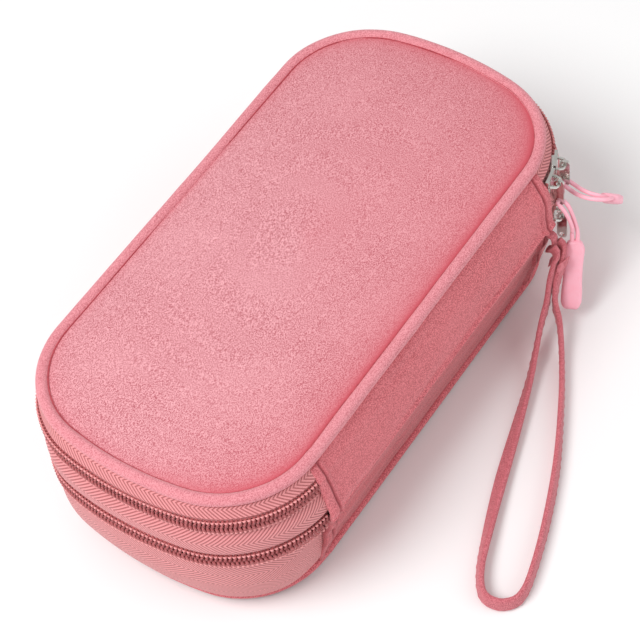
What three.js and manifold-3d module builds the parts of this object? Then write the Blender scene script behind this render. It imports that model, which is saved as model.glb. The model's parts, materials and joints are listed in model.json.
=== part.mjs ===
// Double-layer cable organizer pouch, closed, lying flat with its wrist strap beside it.
// Millimetres. +X runs along the length towards the sliders, -Y is the spine side, +Z is up.
// The origin is the centre of the footprint, on the surface the pouch rests on.
import * as THREE from 'three';
import { mergeVertices } from 'three/addons/utils/BufferGeometryUtils.js';
import Module from 'manifold-3d';

const wasm = await Module();
wasm.setup();

// ---------- driving dimensions ----------
const LENGTH = 190; // overall, at the widest level of the walls
const WIDTH = 100;
const CORNER_RADIUS = 35;
const END_RADIUS = 116; // the short ends bow outwards on this radius
const LOWER_ZIP_Z = 35; // height of the parting line between tray and middle
const UPPER_ZIP_Z = 50.5; // height of the parting line between middle and lid
const TOP_SEAM_Z = 58.5; // height of the lid's piping
const CROWN_Z = 63; // highest point of the padded top panel
const GAP = 0.3; // clearance between neighbouring pieces
const CLOTH = 1.2; // thickness of the walls
const SPINE_CLOTH = 1.6;
const PIPING_RADIUS = 1.9;
const PIPING_INSET = 6.1; // from the widest level in to the piping's centre
const WELT_RADIUS = 1.3;
const WELT_INSET = 7.6;
const LID_EDGE_Z = TOP_SEAM_Z - PIPING_RADIUS - 0.5; // where the lid's walls end, under its piping
const LID_LINING_Z = TOP_SEAM_Z - 2.7;
const DIVIDER_Z = LOWER_ZIP_Z + 3.4;
const DIVIDER_THICKNESS = 3;
const LINING = 0.8; // thickness of the lid's and the tray's lining
const TRAY_LINING_Z = 4.5;
const POCKET = { length: 140, width: 62, thickness: 0.7 };
const HALF_PARTING = 0.5; // half of the space between the two coils of a closed zip
const COIL_HEIGHT = 2.2;
const COIL_DEPTH = 2.0;
const SAG = 0.17; // share by which the zipped side sinks in below the lid
const HEM_ANGLE = 6; // degrees by which the spine reaches round its corners
const ZIP_START = HEM_ANGLE - 90; // where the zips begin, round the far spine-side corner
const UPPER_COIL_FACE = -2; // the coils' outer face, outward from the widest level
const LOWER_COIL_FACE = -1;
const SLIDER_SPREAD = 5.5; // degrees either side of a slider's middle
const PARKING_SPACE = 2; // degrees left free beyond a parked slider
const UPPER_SLIDER_A = -78.3; // degrees round the far spine-side corner
const UPPER_SLIDER_B = -66;
const LOWER_SLIDER = -78.3;
const SLIDER_PLATE = 1;
const CROWN_REACH = 2.2; // from the slider's plate out to the middle of its crown
const STRAP_WIDTH = 5;
const STRAP_THICKNESS = 1.8;

const PINK = '#e58b98';
const ROSE = '#cf6c7b';
const SALMON = '#e3908f';
const COIL_RED = '#a8474f';
const LINING_GREY = '#8d8488';
const RUBBER_PINK = '#ff9fb0';
const NICKEL = '#c9c6c2';

const pouch = new THREE.Group();
pouch.name = 'cable_organizer_pouch';

// The long zipped side, opposite the spine, is soft and sinks in between the lid and the foot.
function sinkIn(geometry) {
  const position = geometry.getAttribute('position');
  for (let i = 0; i < position.count; i++) {
    const y = position.getY(i);
    const level = position.getZ(i) / TOP_SEAM_Z;
    if (y <= 0 || level >= 1) continue;
    const sag = SAG * Math.sin(Math.PI * level) * (y / (WIDTH / 2));
    position.setY(i, y * (1 - sag));
  }
}

function add(name, geometry, color, roughness = 0.9, metalness = 0) {
  sinkIn(geometry);
  const material = new THREE.MeshStandardMaterial({ color, roughness, metalness });
  const mesh = new THREE.Mesh(geometry, material);
  mesh.name = name;
  pouch.add(mesh);
  return mesh;
}

// ---------- the outline every ring and wall follows ----------
// Stations hold a point of the widest outline and the outward direction there, so that
// a wall at any inset follows the same arcs.
const cornerY = WIDTH / 2 - CORNER_RADIUS;
const endCentreX = LENGTH / 2 - END_RADIUS;
const cornerX = endCentreX + Math.sqrt((END_RADIUS - CORNER_RADIUS) ** 2 - cornerY ** 2);
const BETA = THREE.MathUtils.radToDeg(Math.asin(cornerY / (END_RADIUS - CORNER_RADIUS)));

function arc(cx, cy, radius, from, to, steps) {
  const stations = [];
  for (let i = 0; i <= steps; i++) {
    const angle = THREE.MathUtils.degToRad(from + ((to - from) * i) / steps);
    const nx = Math.cos(angle);
    const ny = Math.sin(angle);
    stations.push({ x: cx + radius * nx, y: cy + radius * ny, nx, ny });
  }
  return stations;
}

function corner(signX, signY, from, to, steps) {
  return arc(signX * cornerX, signY * cornerY, CORNER_RADIUS, from, to, steps);
}

function shortEnd(signX, from, to) {
  const inner = arc(signX * endCentreX, 0, END_RADIUS, from, to, 6);
  return inner.slice(1, -1); // its ends are already the corners' ends
}

// The three zipped sides, from the far end of the spine round to the near end of it.
// The ends are cut along the same lines as the spine's hems.
function zippedSides(start = ZIP_START, end = 270 - HEM_ANGLE) {
  return [
    ...corner(1, -1, start, -BETA, 8),
    ...shortEnd(1, -BETA, BETA),
    ...corner(1, 1, BETA, 90, 8),
    ...corner(-1, 1, 90, 180 - BETA, 8),
    ...shortEnd(-1, 180 - BETA, 180 + BETA),
    ...corner(-1, -1, 180 + BETA, end, 8),
  ];
}

function spineSide() {
  const hem = GAP / CORNER_RADIUS;
  const reach = HEM_ANGLE - THREE.MathUtils.radToDeg(hem);
  return [
    ...corner(-1, -1, 270 - reach, 270, 2),
    ...corner(1, -1, -90, -90 + reach, 2),
  ];
}

function wholeOutline() {
  return [
    ...corner(1, -1, -90, -BETA, 8),
    ...shortEnd(1, -BETA, BETA),
    ...corner(1, 1, BETA, 90, 8),
    ...corner(-1, 1, 90, 180 - BETA, 8),
    ...shortEnd(-1, 180 - BETA, 180 + BETA),
    ...corner(-1, -1, 180 + BETA, 270, 8),
  ];
}

// ---------- building closed bodies ----------
function closedBody(positions, triangles) {
  const geometry = new THREE.BufferGeometry();
  geometry.setAttribute('position', new THREE.Float32BufferAttribute(positions.flat(), 3));
  geometry.setIndex(triangles.flat());
  const merged = mergeVertices(geometry, 1e-4);
  merged.computeVertexNormals();
  return merged;
}

// Sweeps a profile of [outward, height] points, listed anticlockwise with outward to the
// right, along the stations.
function sweep(stations, profile, closed) {
  const positions = [];
  const triangles = [];
  const count = profile.length;
  for (const s of stations) {
    for (const [outward, z] of profile) {
      positions.push([s.x + s.nx * outward, s.y + s.ny * outward, z]);
    }
  }
  const last = closed ? stations.length : stations.length - 1;
  for (let i = 0; i < last; i++) {
    const here = i * count;
    const next = ((i + 1) % stations.length) * count;
    for (let j = 0; j < count; j++) {
      const k = (j + 1) % count;
      triangles.push([here + j, next + j, next + k], [here + j, next + k, here + k]);
    }
  }
  if (!closed) {
    const flat = profile.map(([u, v]) => new THREE.Vector2(u, v));
    const end = (stations.length - 1) * count;
    for (const [a, b, c] of THREE.ShapeUtils.triangulateShape(flat, [])) {
      triangles.push([a, b, c], [end + a, end + c, end + b]);
    }
  }
  return closedBody(positions, triangles);
}

function roundProfile(outward, z, radius, steps) {
  const points = [];
  for (let i = 0; i < steps; i++) {
    const angle = (2 * Math.PI * i) / steps;
    points.push([outward + radius * Math.cos(angle), z + radius * Math.sin(angle)]);
  }
  return points;
}

// A strip of cloth whose outer face passes through the points, listed upwards.
function clothProfile(outerFace, thickness) {
  const innerFace = outerFace.map(([u, z]) => [u - thickness, z]).reverse();
  return [...outerFace, ...innerFace];
}

// A plate that fills the outline. Each layer is [inset, scale, z]; the first and last are
// closed by a flat centre.
function plate(layers) {
  const outline = wholeOutline();
  const positions = [];
  const triangles = [];
  const count = outline.length;
  for (const [inset, scale, z] of layers) {
    for (const s of outline) {
      positions.push([(s.x - s.nx * inset) * scale, (s.y - s.ny * inset) * scale, z]);
    }
  }
  for (let i = 0; i + 1 < layers.length; i++) {
    for (let j = 0; j < count; j++) {
      const k = (j + 1) % count;
      const low = i * count;
      const high = low + count;
      triangles.push([low + j, low + k, high + k], [low + j, high + k, high + j]);
    }
  }
  const bottomCentre = positions.push([0, 0, layers[0][2]]) - 1;
  const topCentre = positions.push([0, 0, layers.at(-1)[2]]) - 1;
  const top = (layers.length - 1) * count;
  for (let j = 0; j < count; j++) {
    const k = (j + 1) % count;
    triangles.push([bottomCentre, k, j], [topCentre, top + j, top + k]);
  }
  return closedBody(positions, triangles);
}

function flatPlate(inset, low, high) {
  return plate([[inset, 1, low], [inset, 1, high]]);
}

function asSolid(geometry) {
  const mesh = new wasm.Mesh({
    numProp: 3,
    vertProperties: new Float32Array(geometry.getAttribute('position').array),
    triVerts: new Uint32Array(geometry.getIndex().array),
  });
  return new wasm.Manifold(mesh);
}

function union(first, second) {
  const mesh = asSolid(first).add(asSolid(second)).getMesh();
  const geometry = new THREE.BufferGeometry();
  geometry.setAttribute('position', new THREE.BufferAttribute(mesh.vertProperties, 3));
  geometry.setIndex(new THREE.BufferAttribute(mesh.triVerts, 1));
  geometry.computeVertexNormals();
  return geometry;
}

// Keeps only the positions, so that points in the same place become one.
function welded(geometry) {
  const plain = new THREE.BufferGeometry();
  plain.setAttribute('position', geometry.getAttribute('position').clone());
  if (geometry.getIndex()) plain.setIndex(geometry.getIndex().clone());
  const merged = mergeVertices(plain, 1e-4);
  merged.computeVertexNormals();
  return merged;
}

// A closed tube through rings of { point, side, up, across, thick }.
function tube(rings, sides) {
  const positions = [];
  const triangles = [];
  for (const { point, side, up, across, thick } of rings) {
    for (let j = 0; j < sides; j++) {
      const angle = (2 * Math.PI * j) / sides;
      const rim = point.clone();
      rim.addScaledVector(side, across * Math.cos(angle));
      rim.addScaledVector(up, thick * Math.sin(angle));
      positions.push(rim.toArray());
    }
  }
  for (let i = 0; i + 1 < rings.length; i++) {
    for (let j = 0; j < sides; j++) {
      const k = (j + 1) % sides;
      const here = i * sides;
      const next = here + sides;
      triangles.push([here + j, here + k, next + k], [here + j, next + k, next + j]);
    }
  }
  const end = (rings.length - 1) * sides;
  for (let j = 1; j + 1 < sides; j++) {
    triangles.push([0, j + 1, j], [end, end + j, end + j + 1]);
  }
  return closedBody(positions, triangles);
}

// Rings along a route of [x, y, z] points; size(t) gives their half width, which lies
// level, and their half thickness.
function ringsAlong(route, steps, size) {
  const points = route.map(([x, y, z]) => new THREE.Vector3(x, y, z));
  const curve = new THREE.CatmullRomCurve3(points, false, 'centripetal');
  const rings = [];
  for (let i = 0; i <= steps; i++) {
    const point = curve.getPointAt(i / steps);
    const tangent = curve.getTangentAt(i / steps);
    const side = new THREE.Vector3(tangent.y, -tangent.x, 0).normalize();
    const up = new THREE.Vector3().crossVectors(tangent, side);
    rings.push({ point, side, up, ...size(i / steps, curve.getLength()) });
  }
  return rings;
}

// ---------- zips ----------
// One coil of a zip: side is +1 above the parting line and -1 below it.
function coil(partingZ, outward, side, start) {
  const near = partingZ + side * HALF_PARTING;
  const far = near + side * COIL_HEIGHT;
  const low = Math.min(near, far);
  const high = Math.max(near, far);
  const bevel = 0.5;
  const profile = [
    [outward, low + bevel],
    [outward, high - bevel],
    [outward - bevel, high],
    [outward - COIL_DEPTH, high],
    [outward - COIL_DEPTH, low],
    [outward - bevel, low],
  ];
  return sweep(zippedSides(start), profile, false);
}

// ---------- tray: the lower compartment ----------
function buildTray() {
  const wall = [
    [-6.6, 4.8],
    [-4.2, 8],
    [-1.9, 14],
    [-0.7, 21],
    [-0.5, 27],
    [-1.2, LOWER_ZIP_Z - 3],
  ];
  add('tray_zip_tape', sweep(zippedSides(), clothProfile(wall, CLOTH), false), SALMON);
  add('tray_zip_coil', coil(LOWER_ZIP_Z, LOWER_COIL_FACE, -1, ZIP_START), COIL_RED, 0.5);
  const spine = [
    [-6.4, 4.8],
    [-4.3, 9],
    [-2, 17],
    [-0.6, 26],
    [-0.1, LOWER_ZIP_Z - HALF_PARTING],
  ];
  add('tray_spine', sweep(spineSide(), clothProfile(spine, SPINE_CLOTH), false), ROSE);
  const edge = WELT_INSET + WELT_RADIUS + 0.2;
  const panel = [[edge, 0.86, 0], [edge, 0.96, 0.6], [edge, 1, 1.8], [edge, 1, 4.2]];
  add('bottom_panel', plate(panel), PINK);
  const welt = roundProfile(-WELT_INSET, 3.1, WELT_RADIUS, 8);
  add('bottom_welt', sweep(wholeOutline(), welt, true), ROSE);
  add('tray_lining', flatPlate(9.4, TRAY_LINING_Z, TRAY_LINING_Z + LINING), LINING_GREY);
}

// ---------- middle: the divider and the upper compartment's walls ----------
function buildMiddle() {
  const lowTape = [[-1.4, LOWER_ZIP_Z + 3], [-1.4, LOWER_ZIP_Z + 4.2]];
  add('divider_zip_tape', sweep(zippedSides(), clothProfile(lowTape, 1.4), false), SALMON);
  const pastSlider = LOWER_SLIDER + SLIDER_SPREAD + PARKING_SPACE;
  add('divider_zip_coil', coil(LOWER_ZIP_Z, LOWER_COIL_FACE, 1, pastSlider), COIL_RED, 0.5);
  const wall = [
    [-0.2, LOWER_ZIP_Z + 4.5],
    [0, LOWER_ZIP_Z + 6],
    [-0.6, LOWER_ZIP_Z + 9.5],
    [-2.1, UPPER_ZIP_Z - 3],
  ];
  add('middle_zip_tape', sweep(zippedSides(), clothProfile(wall, CLOTH), false), SALMON);
  add('middle_zip_coil', coil(UPPER_ZIP_Z, UPPER_COIL_FACE, -1, ZIP_START), COIL_RED, 0.5);
  const spine = [
    [-0.1, LOWER_ZIP_Z + HALF_PARTING],
    [-0.3, LOWER_ZIP_Z + 5],
    [-1, LOWER_ZIP_Z + 10],
    [-1.9, UPPER_ZIP_Z - HALF_PARTING],
  ];
  add('middle_spine', sweep(spineSide(), clothProfile(spine, SPINE_CLOTH), false), ROSE);
  add('divider_panel', flatPlate(3.3, DIVIDER_Z, DIVIDER_Z + DIVIDER_THICKNESS), LINING_GREY);
}

// ---------- lid ----------
function buildLid() {
  const tape = clothProfile([[-2.6, UPPER_ZIP_Z + 3], [-3.3, LID_EDGE_Z - 1.4], [-4.3, LID_EDGE_Z]], CLOTH);
  add('lid_zip_tape', sweep(zippedSides(), tape, false), SALMON);
  const pastSliders = UPPER_SLIDER_B + SLIDER_SPREAD + PARKING_SPACE;
  add('lid_zip_coil', coil(UPPER_ZIP_Z, UPPER_COIL_FACE, 1, pastSliders), COIL_RED, 0.5);
  const spine = [[-2.1, UPPER_ZIP_Z + HALF_PARTING], [-2.9, UPPER_ZIP_Z + 3.2], [-4.3, LID_EDGE_Z]];
  add('lid_spine', sweep(spineSide(), clothProfile(spine, SPINE_CLOTH), false), ROSE);
  const piping = roundProfile(-PIPING_INSET, TOP_SEAM_Z, PIPING_RADIUS, 10);
  add('lid_piping', sweep(wholeOutline(), piping, true), PINK);
  const edge = PIPING_INSET + PIPING_RADIUS + GAP;
  const rise = CROWN_Z - TOP_SEAM_Z;
  const panel = [
    [edge, 1, TOP_SEAM_Z - 1.6],
    [edge, 1, TOP_SEAM_Z],
    [edge, 0.94, TOP_SEAM_Z + rise * 0.42],
    [edge, 0.82, TOP_SEAM_Z + rise * 0.72],
    [edge, 0.6, TOP_SEAM_Z + rise * 0.92],
    [edge, 0.3, CROWN_Z],
  ];
  add('top_panel', plate(panel), PINK);
  add('lid_lining', flatPlate(edge, LID_LINING_Z, LID_LINING_Z + LINING), LINING_GREY);
}

// ---------- fittings inside ----------
// A strip of elastic held down between loops that each take one cable.
function elasticStrip(x, z, loops, width) {
  const loopWidth = 14;
  const pitch = 19;
  const thickness = 0.8;
  const rise = 2.6;
  const upper = [];
  const lower = [];
  const half = (loops * pitch) / 2;
  for (let i = 0; i < loops; i++) {
    const centre = (i - (loops - 1) / 2) * pitch;
    for (let k = 0; k <= 6; k++) {
      const u = k / 6;
      const y = centre + (u - 0.5) * loopWidth;
      const height = rise * Math.sin(Math.PI * u);
      upper.push([y, height + thickness]);
      lower.push([y, height]);
    }
  }
  const profile = [[-half, 0], ...lower, [half, 0], [half, thickness], ...upper.reverse()];
  profile.push([-half, thickness]);
  const shape = new THREE.Shape(profile.map(([y, h]) => new THREE.Vector2(y, h)));
  const strip = new THREE.ExtrudeGeometry(shape, { depth: width, bevelEnabled: false });
  strip.rotateX(Math.PI / 2).rotateZ(Math.PI / 2);
  strip.translate(x - width / 2, 0, z);
  const plain = new THREE.BufferGeometry();
  plain.setAttribute('position', strip.getAttribute('position').clone());
  return mergeVertices(plain, 1e-4);
}

function buildInside() {
  const dividerTop = DIVIDER_Z + DIVIDER_THICKNESS + GAP;
  add('elastic_loops_near', elasticStrip(-34, dividerTop, 4, 16), LINING_GREY);
  add('elastic_loops_far', elasticStrip(34, dividerTop, 4, 16), LINING_GREY);
  const clear = GAP + POCKET.thickness / 2;
  const lidPocket = new THREE.BoxGeometry(POCKET.length, POCKET.width, POCKET.thickness);
  lidPocket.translate(0, 0, LID_LINING_Z - clear);
  add('lid_mesh_pocket', lidPocket, LINING_GREY);
  const trayPocket = new THREE.BoxGeometry(POCKET.length, POCKET.width, POCKET.thickness);
  trayPocket.translate(0, 0, TRAY_LINING_Z + LINING + clear);
  add('tray_mesh_pocket', trayPocket, LINING_GREY);
}

// ---------- sliders, tabs and pulls ----------
// A place on the far spine-side corner: out is away from the pouch, along follows the zip.
function cornerFrame(angle, outward, z) {
  const turn = THREE.MathUtils.degToRad(angle);
  const out = new THREE.Vector3(Math.cos(turn), Math.sin(turn), 0);
  const along = new THREE.Vector3(-out.y, out.x, 0);
  const origin = new THREE.Vector3(cornerX, -cornerY, z);
  origin.addScaledVector(out, CORNER_RADIUS + outward);
  return { origin, out, along };
}

function crownOutward(coilFace) {
  return coilFace + GAP + SLIDER_PLATE + CROWN_REACH;
}

// The wire loop on a slider's outer plate.
function crown(angle, partingZ, coilFace) {
  const reach = CROWN_REACH + SLIDER_PLATE / 2;
  const { origin, out, along } = cornerFrame(angle, crownOutward(coilFace) - reach, partingZ);
  const half = 2.3;
  const rings = [];
  for (let i = 0; i <= 10; i++) {
    const turn = (Math.PI * i) / 10;
    const flat = Math.cos(turn);
    const rise = Math.min(1, 1.5 * Math.sin(turn));
    const point = origin.clone();
    point.addScaledVector(along, half * flat).addScaledVector(out, reach * rise);
    const inward = along.clone().multiplyScalar(-flat).addScaledVector(out, -Math.sin(turn));
    const side = new THREE.Vector3(0, 0, 1);
    rings.push({ point, side, up: inward, across: 0.5, thick: 0.5 });
  }
  return tube(rings, 8);
}

// A slider is two curved plates joined by a wedge that runs between the two coils.
function slider(name, angle, partingZ, coilFace) {
  const low = partingZ - 2.7;
  const high = partingZ + 2.7;
  const outer = coilFace + GAP;
  const inner = coilFace - COIL_DEPTH - GAP;
  const wedge = 0.2;
  const profile = [
    [inner - SLIDER_PLATE, low],
    [inner, low],
    [inner, partingZ - wedge],
    [outer, partingZ - wedge],
    [outer, low],
    [outer + SLIDER_PLATE, low],
    [outer + SLIDER_PLATE, high],
    [outer, high],
    [outer, partingZ + wedge],
    [inner, partingZ + wedge],
    [inner, high],
    [inner - SLIDER_PLATE, high],
  ];
  const path = corner(1, -1, angle - SLIDER_SPREAD, angle + SLIDER_SPREAD, 4);
  const body = sweep(path, profile, false);
  add(name, union(body, crown(angle, partingZ, coilFace)), NICKEL, 0.3, 1);
}

// A flat tab with an eye at each end, hanging from a slider's crown.
function tab(name, angle, partingZ, coilFace) {
  const halfWidth = 1.6;
  const drop = 8.4; // between the two eyes
  const thickness = 0.9;
  const shape = new THREE.Shape();
  shape.absarc(0, 0, halfWidth, 0, Math.PI, false);
  shape.absarc(0, -drop, halfWidth, Math.PI, 2 * Math.PI, false);
  for (const y of [0, -drop]) {
    const eye = new THREE.Path();
    eye.absarc(0, y, 0.85, 0, 2 * Math.PI, true);
    shape.holes.push(eye);
  }
  const options = { depth: thickness, bevelEnabled: false, curveSegments: 8 };
  const geometry = new THREE.ExtrudeGeometry(shape, options);
  geometry.translate(0, 0, -thickness / 2);
  const { origin, out, along } = cornerFrame(angle, crownOutward(coilFace), partingZ);
  const up = new THREE.Vector3(0, 0, 1);
  geometry.applyMatrix4(new THREE.Matrix4().makeBasis(out, up, along.clone().negate()));
  geometry.translate(origin.x, origin.y, origin.z);
  geometry.deleteAttribute('normal');
  geometry.deleteAttribute('uv');
  add(name, welded(geometry), NICKEL, 0.3, 1);
}

// A soft rubber pull, moulded in one piece: a cord that ends in a flat grip.
const CORD_HALF = 1.1;
const GRIP = { length: 22, halfWidth: 3.2, halfThickness: 1.5 };

function pull(name, route) {
  const size = (t, length) => {
    const gripStart = 1 - GRIP.length / length;
    const onGrip = THREE.MathUtils.smoothstep(t, gripStart - 0.05, gripStart + 0.08);
    return {
      across: THREE.MathUtils.lerp(CORD_HALF, GRIP.halfWidth, onGrip),
      thick: THREE.MathUtils.lerp(CORD_HALF, GRIP.halfThickness, onGrip),
    };
  };
  add(name, tube(ringsAlong(route, 18, size), 10), RUBBER_PINK, 0.55);
}

const PULL_A_ROUTE = [
  [65.6, -52.3, 40],
  [66.2, -54.4, 38],
  [67.4, -56.2, 33],
  [67.2, -56.8, 28],
  [64.2, -57.8, 20],
  [57, -60.8, 6.5],
];
const PULL_B_ROUTE = [
  [73.2, -50, 40],
  [73.3, -51, 38.6],
  [72.2, -54.2, 40],
  [72.8, -57.8, 41.4],
  [74.2, -61, 41],
  [78.4, -61.8, 37],
  [90.5, -56.3, 20],
];

function buildSliders() {
  slider('upper_slider_a', UPPER_SLIDER_A, UPPER_ZIP_Z, UPPER_COIL_FACE);
  slider('upper_slider_b', UPPER_SLIDER_B, UPPER_ZIP_Z, UPPER_COIL_FACE);
  slider('lower_slider', LOWER_SLIDER, LOWER_ZIP_Z, LOWER_COIL_FACE);
  tab('upper_tab_a', UPPER_SLIDER_A, UPPER_ZIP_Z, UPPER_COIL_FACE);
  tab('upper_tab_b', UPPER_SLIDER_B, UPPER_ZIP_Z, UPPER_COIL_FACE);
  tab('lower_tab', LOWER_SLIDER, LOWER_ZIP_Z, LOWER_COIL_FACE);
  pull('pull_a', PULL_A_ROUTE);
  pull('pull_b', PULL_B_ROUTE);
}

// ---------- wrist strap ----------
// Both legs leave the anchor in the spine's far hem, run together to a bar tack and then
// open into a long loop that lies on its edge beside the pouch.
const STRAP_ROUTE = [
  [58.2, -52.6, 28.5],
  [57.8, -54.4, 27],
  [55.6, -54.5, 23.5],
  [51.9, -54.8, 18.5],
  [47.7, -56, 13.5],
  [42.6, -57.6, 9.5],
  [34.5, -60.2, 5.2],
  [23, -64, 2.8],
  [-9.2, -73.9, 2.7],
  [-29.4, -80.9, 2.7],
  [-39.6, -85.1, 2.7],
  [-45.6, -89.6, 2.7],
  [-46.4, -94.2, 2.7],
  [-44.4, -97.8, 2.7],
  [-40.6, -99.6, 2.7],
  [-33, -98.6, 2.7],
  [-16, -93.5, 2.7],
  [3.9, -85.7, 2.7],
  [25.3, -75, 2.7],
  [39, -67.2, 3.6],
  [46.8, -62, 7.5],
  [51, -58.8, 12.5],
  [54.7, -57, 17.5],
  [59, -56.4, 23],
  [61.2, -54.8, 26.6],
  [61.2, -52.6, 28.5],
];

function buildStrap() {
  const size = () => ({ across: STRAP_THICKNESS / 2, thick: STRAP_WIDTH / 2 });
  add('wrist_strap', tube(ringsAlong(STRAP_ROUTE, 70, size), 8), ROSE);
  const anchor = [[-0.1, 25], [2, 26], [2, 31], [-0.1, 32]];
  const hem = corner(1, -1, ZIP_START - 4.6, ZIP_START - 3.2, 1);
  add('strap_anchor', sweep(hem, anchor, false), ROSE);
}

buildTray();
buildMiddle();
buildLid();
buildInside();
buildSliders();
buildStrap();

export default pouch;
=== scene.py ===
"""Looks of the double-layer cable organizer pouch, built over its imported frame."""

import bisect
import json
import math

import bpy
from mathutils import Matrix, Vector, noise


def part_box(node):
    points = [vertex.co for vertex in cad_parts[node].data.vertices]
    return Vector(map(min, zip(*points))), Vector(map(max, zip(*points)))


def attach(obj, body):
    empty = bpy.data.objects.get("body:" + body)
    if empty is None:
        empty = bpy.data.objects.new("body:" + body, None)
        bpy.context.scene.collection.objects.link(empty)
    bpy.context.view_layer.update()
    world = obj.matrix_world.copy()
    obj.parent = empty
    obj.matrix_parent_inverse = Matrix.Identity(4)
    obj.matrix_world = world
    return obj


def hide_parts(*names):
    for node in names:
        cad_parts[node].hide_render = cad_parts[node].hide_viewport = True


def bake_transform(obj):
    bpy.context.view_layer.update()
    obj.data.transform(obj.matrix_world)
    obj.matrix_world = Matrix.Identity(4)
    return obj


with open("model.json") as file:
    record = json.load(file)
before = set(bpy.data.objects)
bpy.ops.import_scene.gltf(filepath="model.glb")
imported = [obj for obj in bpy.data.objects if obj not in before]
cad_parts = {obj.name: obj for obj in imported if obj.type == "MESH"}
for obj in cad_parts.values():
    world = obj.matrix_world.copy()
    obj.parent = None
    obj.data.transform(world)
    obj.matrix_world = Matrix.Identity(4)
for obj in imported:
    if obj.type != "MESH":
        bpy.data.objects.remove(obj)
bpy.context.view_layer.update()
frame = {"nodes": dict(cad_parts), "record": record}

MM = 0.001

# ---------- sizes, the CAD's own ----------
def middle_z(node):
    low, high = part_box(node)
    return round((low[2] + high[2]) / 2, 5)


joint_places = {joint["name"]: joint["pos_m"] for joint in frame["record"]["behaviour"]["joints"]}

HALF_LENGTH = round(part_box("middle_zip_tape")[1][0], 5)
HALF_WIDTH = 50 * MM  # before the zipped side sinks in
CORNER_RADIUS = 35 * MM
END_RADIUS = 116 * MM  # the short ends bow outwards on this radius
UPPER_ZIP_Z = joint_places["upper_opening"][2]
LOWER_ZIP_Z = joint_places["lower_opening"][2]
TOP_SEAM_Z = middle_z("lid_piping")
CROWN_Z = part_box("top_panel")[1][2]
PIPING_INSET = 6.1 * MM
PIPING_RADIUS = 1.9 * MM
PANEL_INSET = 7.7 * MM
SAG = 0.17  # share by which the zipped side sinks in below the lid
HEM_ANGLE = 6  # degrees by which the spine reaches round its corners

CORNER_Y = HALF_WIDTH - CORNER_RADIUS
END_CENTRE_X = HALF_LENGTH - END_RADIUS
CORNER_X = END_CENTRE_X + math.sqrt((END_RADIUS - CORNER_RADIUS) ** 2 - CORNER_Y**2)
BETA = math.degrees(math.asin(CORNER_Y / (END_RADIUS - CORNER_RADIUS)))


# ---------- camera ----------
def make_camera():
    azimuth = math.radians(-49.26)
    elevation = math.radians(53.32)
    roll = math.radians(-8.66)
    distance = 637.4 * MM
    target = Vector((-18.65 * MM, -20.24 * MM, 59.28 * MM))
    level = math.cos(elevation)
    back = Vector((math.sin(azimuth) * level, -math.cos(azimuth) * level, math.sin(elevation)))
    right = Vector((math.cos(azimuth), math.sin(azimuth), 0))
    up = back.cross(right)
    turned_right = right * math.cos(roll) + up * math.sin(roll)
    turned_up = back.cross(turned_right)
    data = bpy.data.cameras.new("camera")
    data.lens = 123.75
    data.sensor_width = 36
    camera = bpy.data.objects.new("camera", data)
    axes = Matrix((turned_right, turned_up, back)).transposed().to_4x4()
    camera.matrix_world = Matrix.Translation(target + back * distance) @ axes
    bpy.context.collection.objects.link(camera)
    bpy.context.scene.camera = camera


make_camera()


# ---------- the outline that every wall follows ----------
def arc(cx, cy, radius, start, end, steps):
    """Stations (x, y, nx, ny) on an arc, from start to end degrees."""
    stations = []
    for i in range(steps + 1):
        angle = math.radians(start + (end - start) * i / steps)
        nx, ny = math.cos(angle), math.sin(angle)
        stations.append((cx + radius * nx, cy + radius * ny, nx, ny))
    return stations


def corner(sign_x, sign_y, start, end, steps=22):
    return arc(sign_x * CORNER_X, sign_y * CORNER_Y, CORNER_RADIUS, start, end, steps)


def short_end(sign_x, start, end, steps=24):
    return arc(sign_x * END_CENTRE_X, 0, END_RADIUS, start, end, steps)[1:-1]


def side_between(last, first, steps=50):
    """The straight stations between two corners."""
    stations = []
    for i in range(1, steps):
        t = i / steps
        x = last[0] + (first[0] - last[0]) * t
        stations.append((x, last[1], last[2], last[3]))
    return stations


def zipped_sides(start=HEM_ANGLE - 92.0, end=272.0 - HEM_ANGLE):
    """The three zipped sides, from the far end of the spine round to its near end."""
    far = corner(1, 1, BETA, 90)
    near = corner(-1, 1, 90, 180 - BETA)
    return [
        *corner(1, -1, start, -BETA),
        *short_end(1, -BETA, BETA),
        *far,
        *side_between(far[-1], near[0]),
        *near,
        *short_end(-1, 180 - BETA, 180 + BETA),
        *corner(-1, -1, 180 + BETA, end),
    ]


def spine_side(reach=HEM_ANGLE):
    near = corner(-1, -1, 270 - reach, 270, 12)
    far = corner(1, -1, -90, -90 + reach, 12)
    return [*near, *side_between(near[-1], far[0], 180), *far]


def whole_outline():
    """All the way round, starting at the near end of the spine's straight side."""
    near = corner(-1, -1, 180 + BETA, 270)
    return [*side_between(near[-1], corner(1, -1, -90, -BETA)[0]), *zipped_sides(-90.0, 270.0)]


def lengths(stations, closed):
    """Distance along the stations."""
    total = [0.0]
    points = stations + stations[:1] if closed else stations
    for a, b in zip(points, points[1:]):
        total.append(total[-1] + math.hypot(b[0] - a[0], b[1] - a[1]))
    return total


# ---------- mesh helpers ----------
def sunk_in(point):
    """The long zipped side is soft and sinks in between the lid and the foot."""
    x, y, z = point
    level = z / TOP_SEAM_Z
    if y <= 0 or not 0 < level < 1:
        return (x, y, z)
    return (x, y * (1 - SAG * math.sin(math.pi * level) * y / HALF_WIDTH), z)


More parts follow.
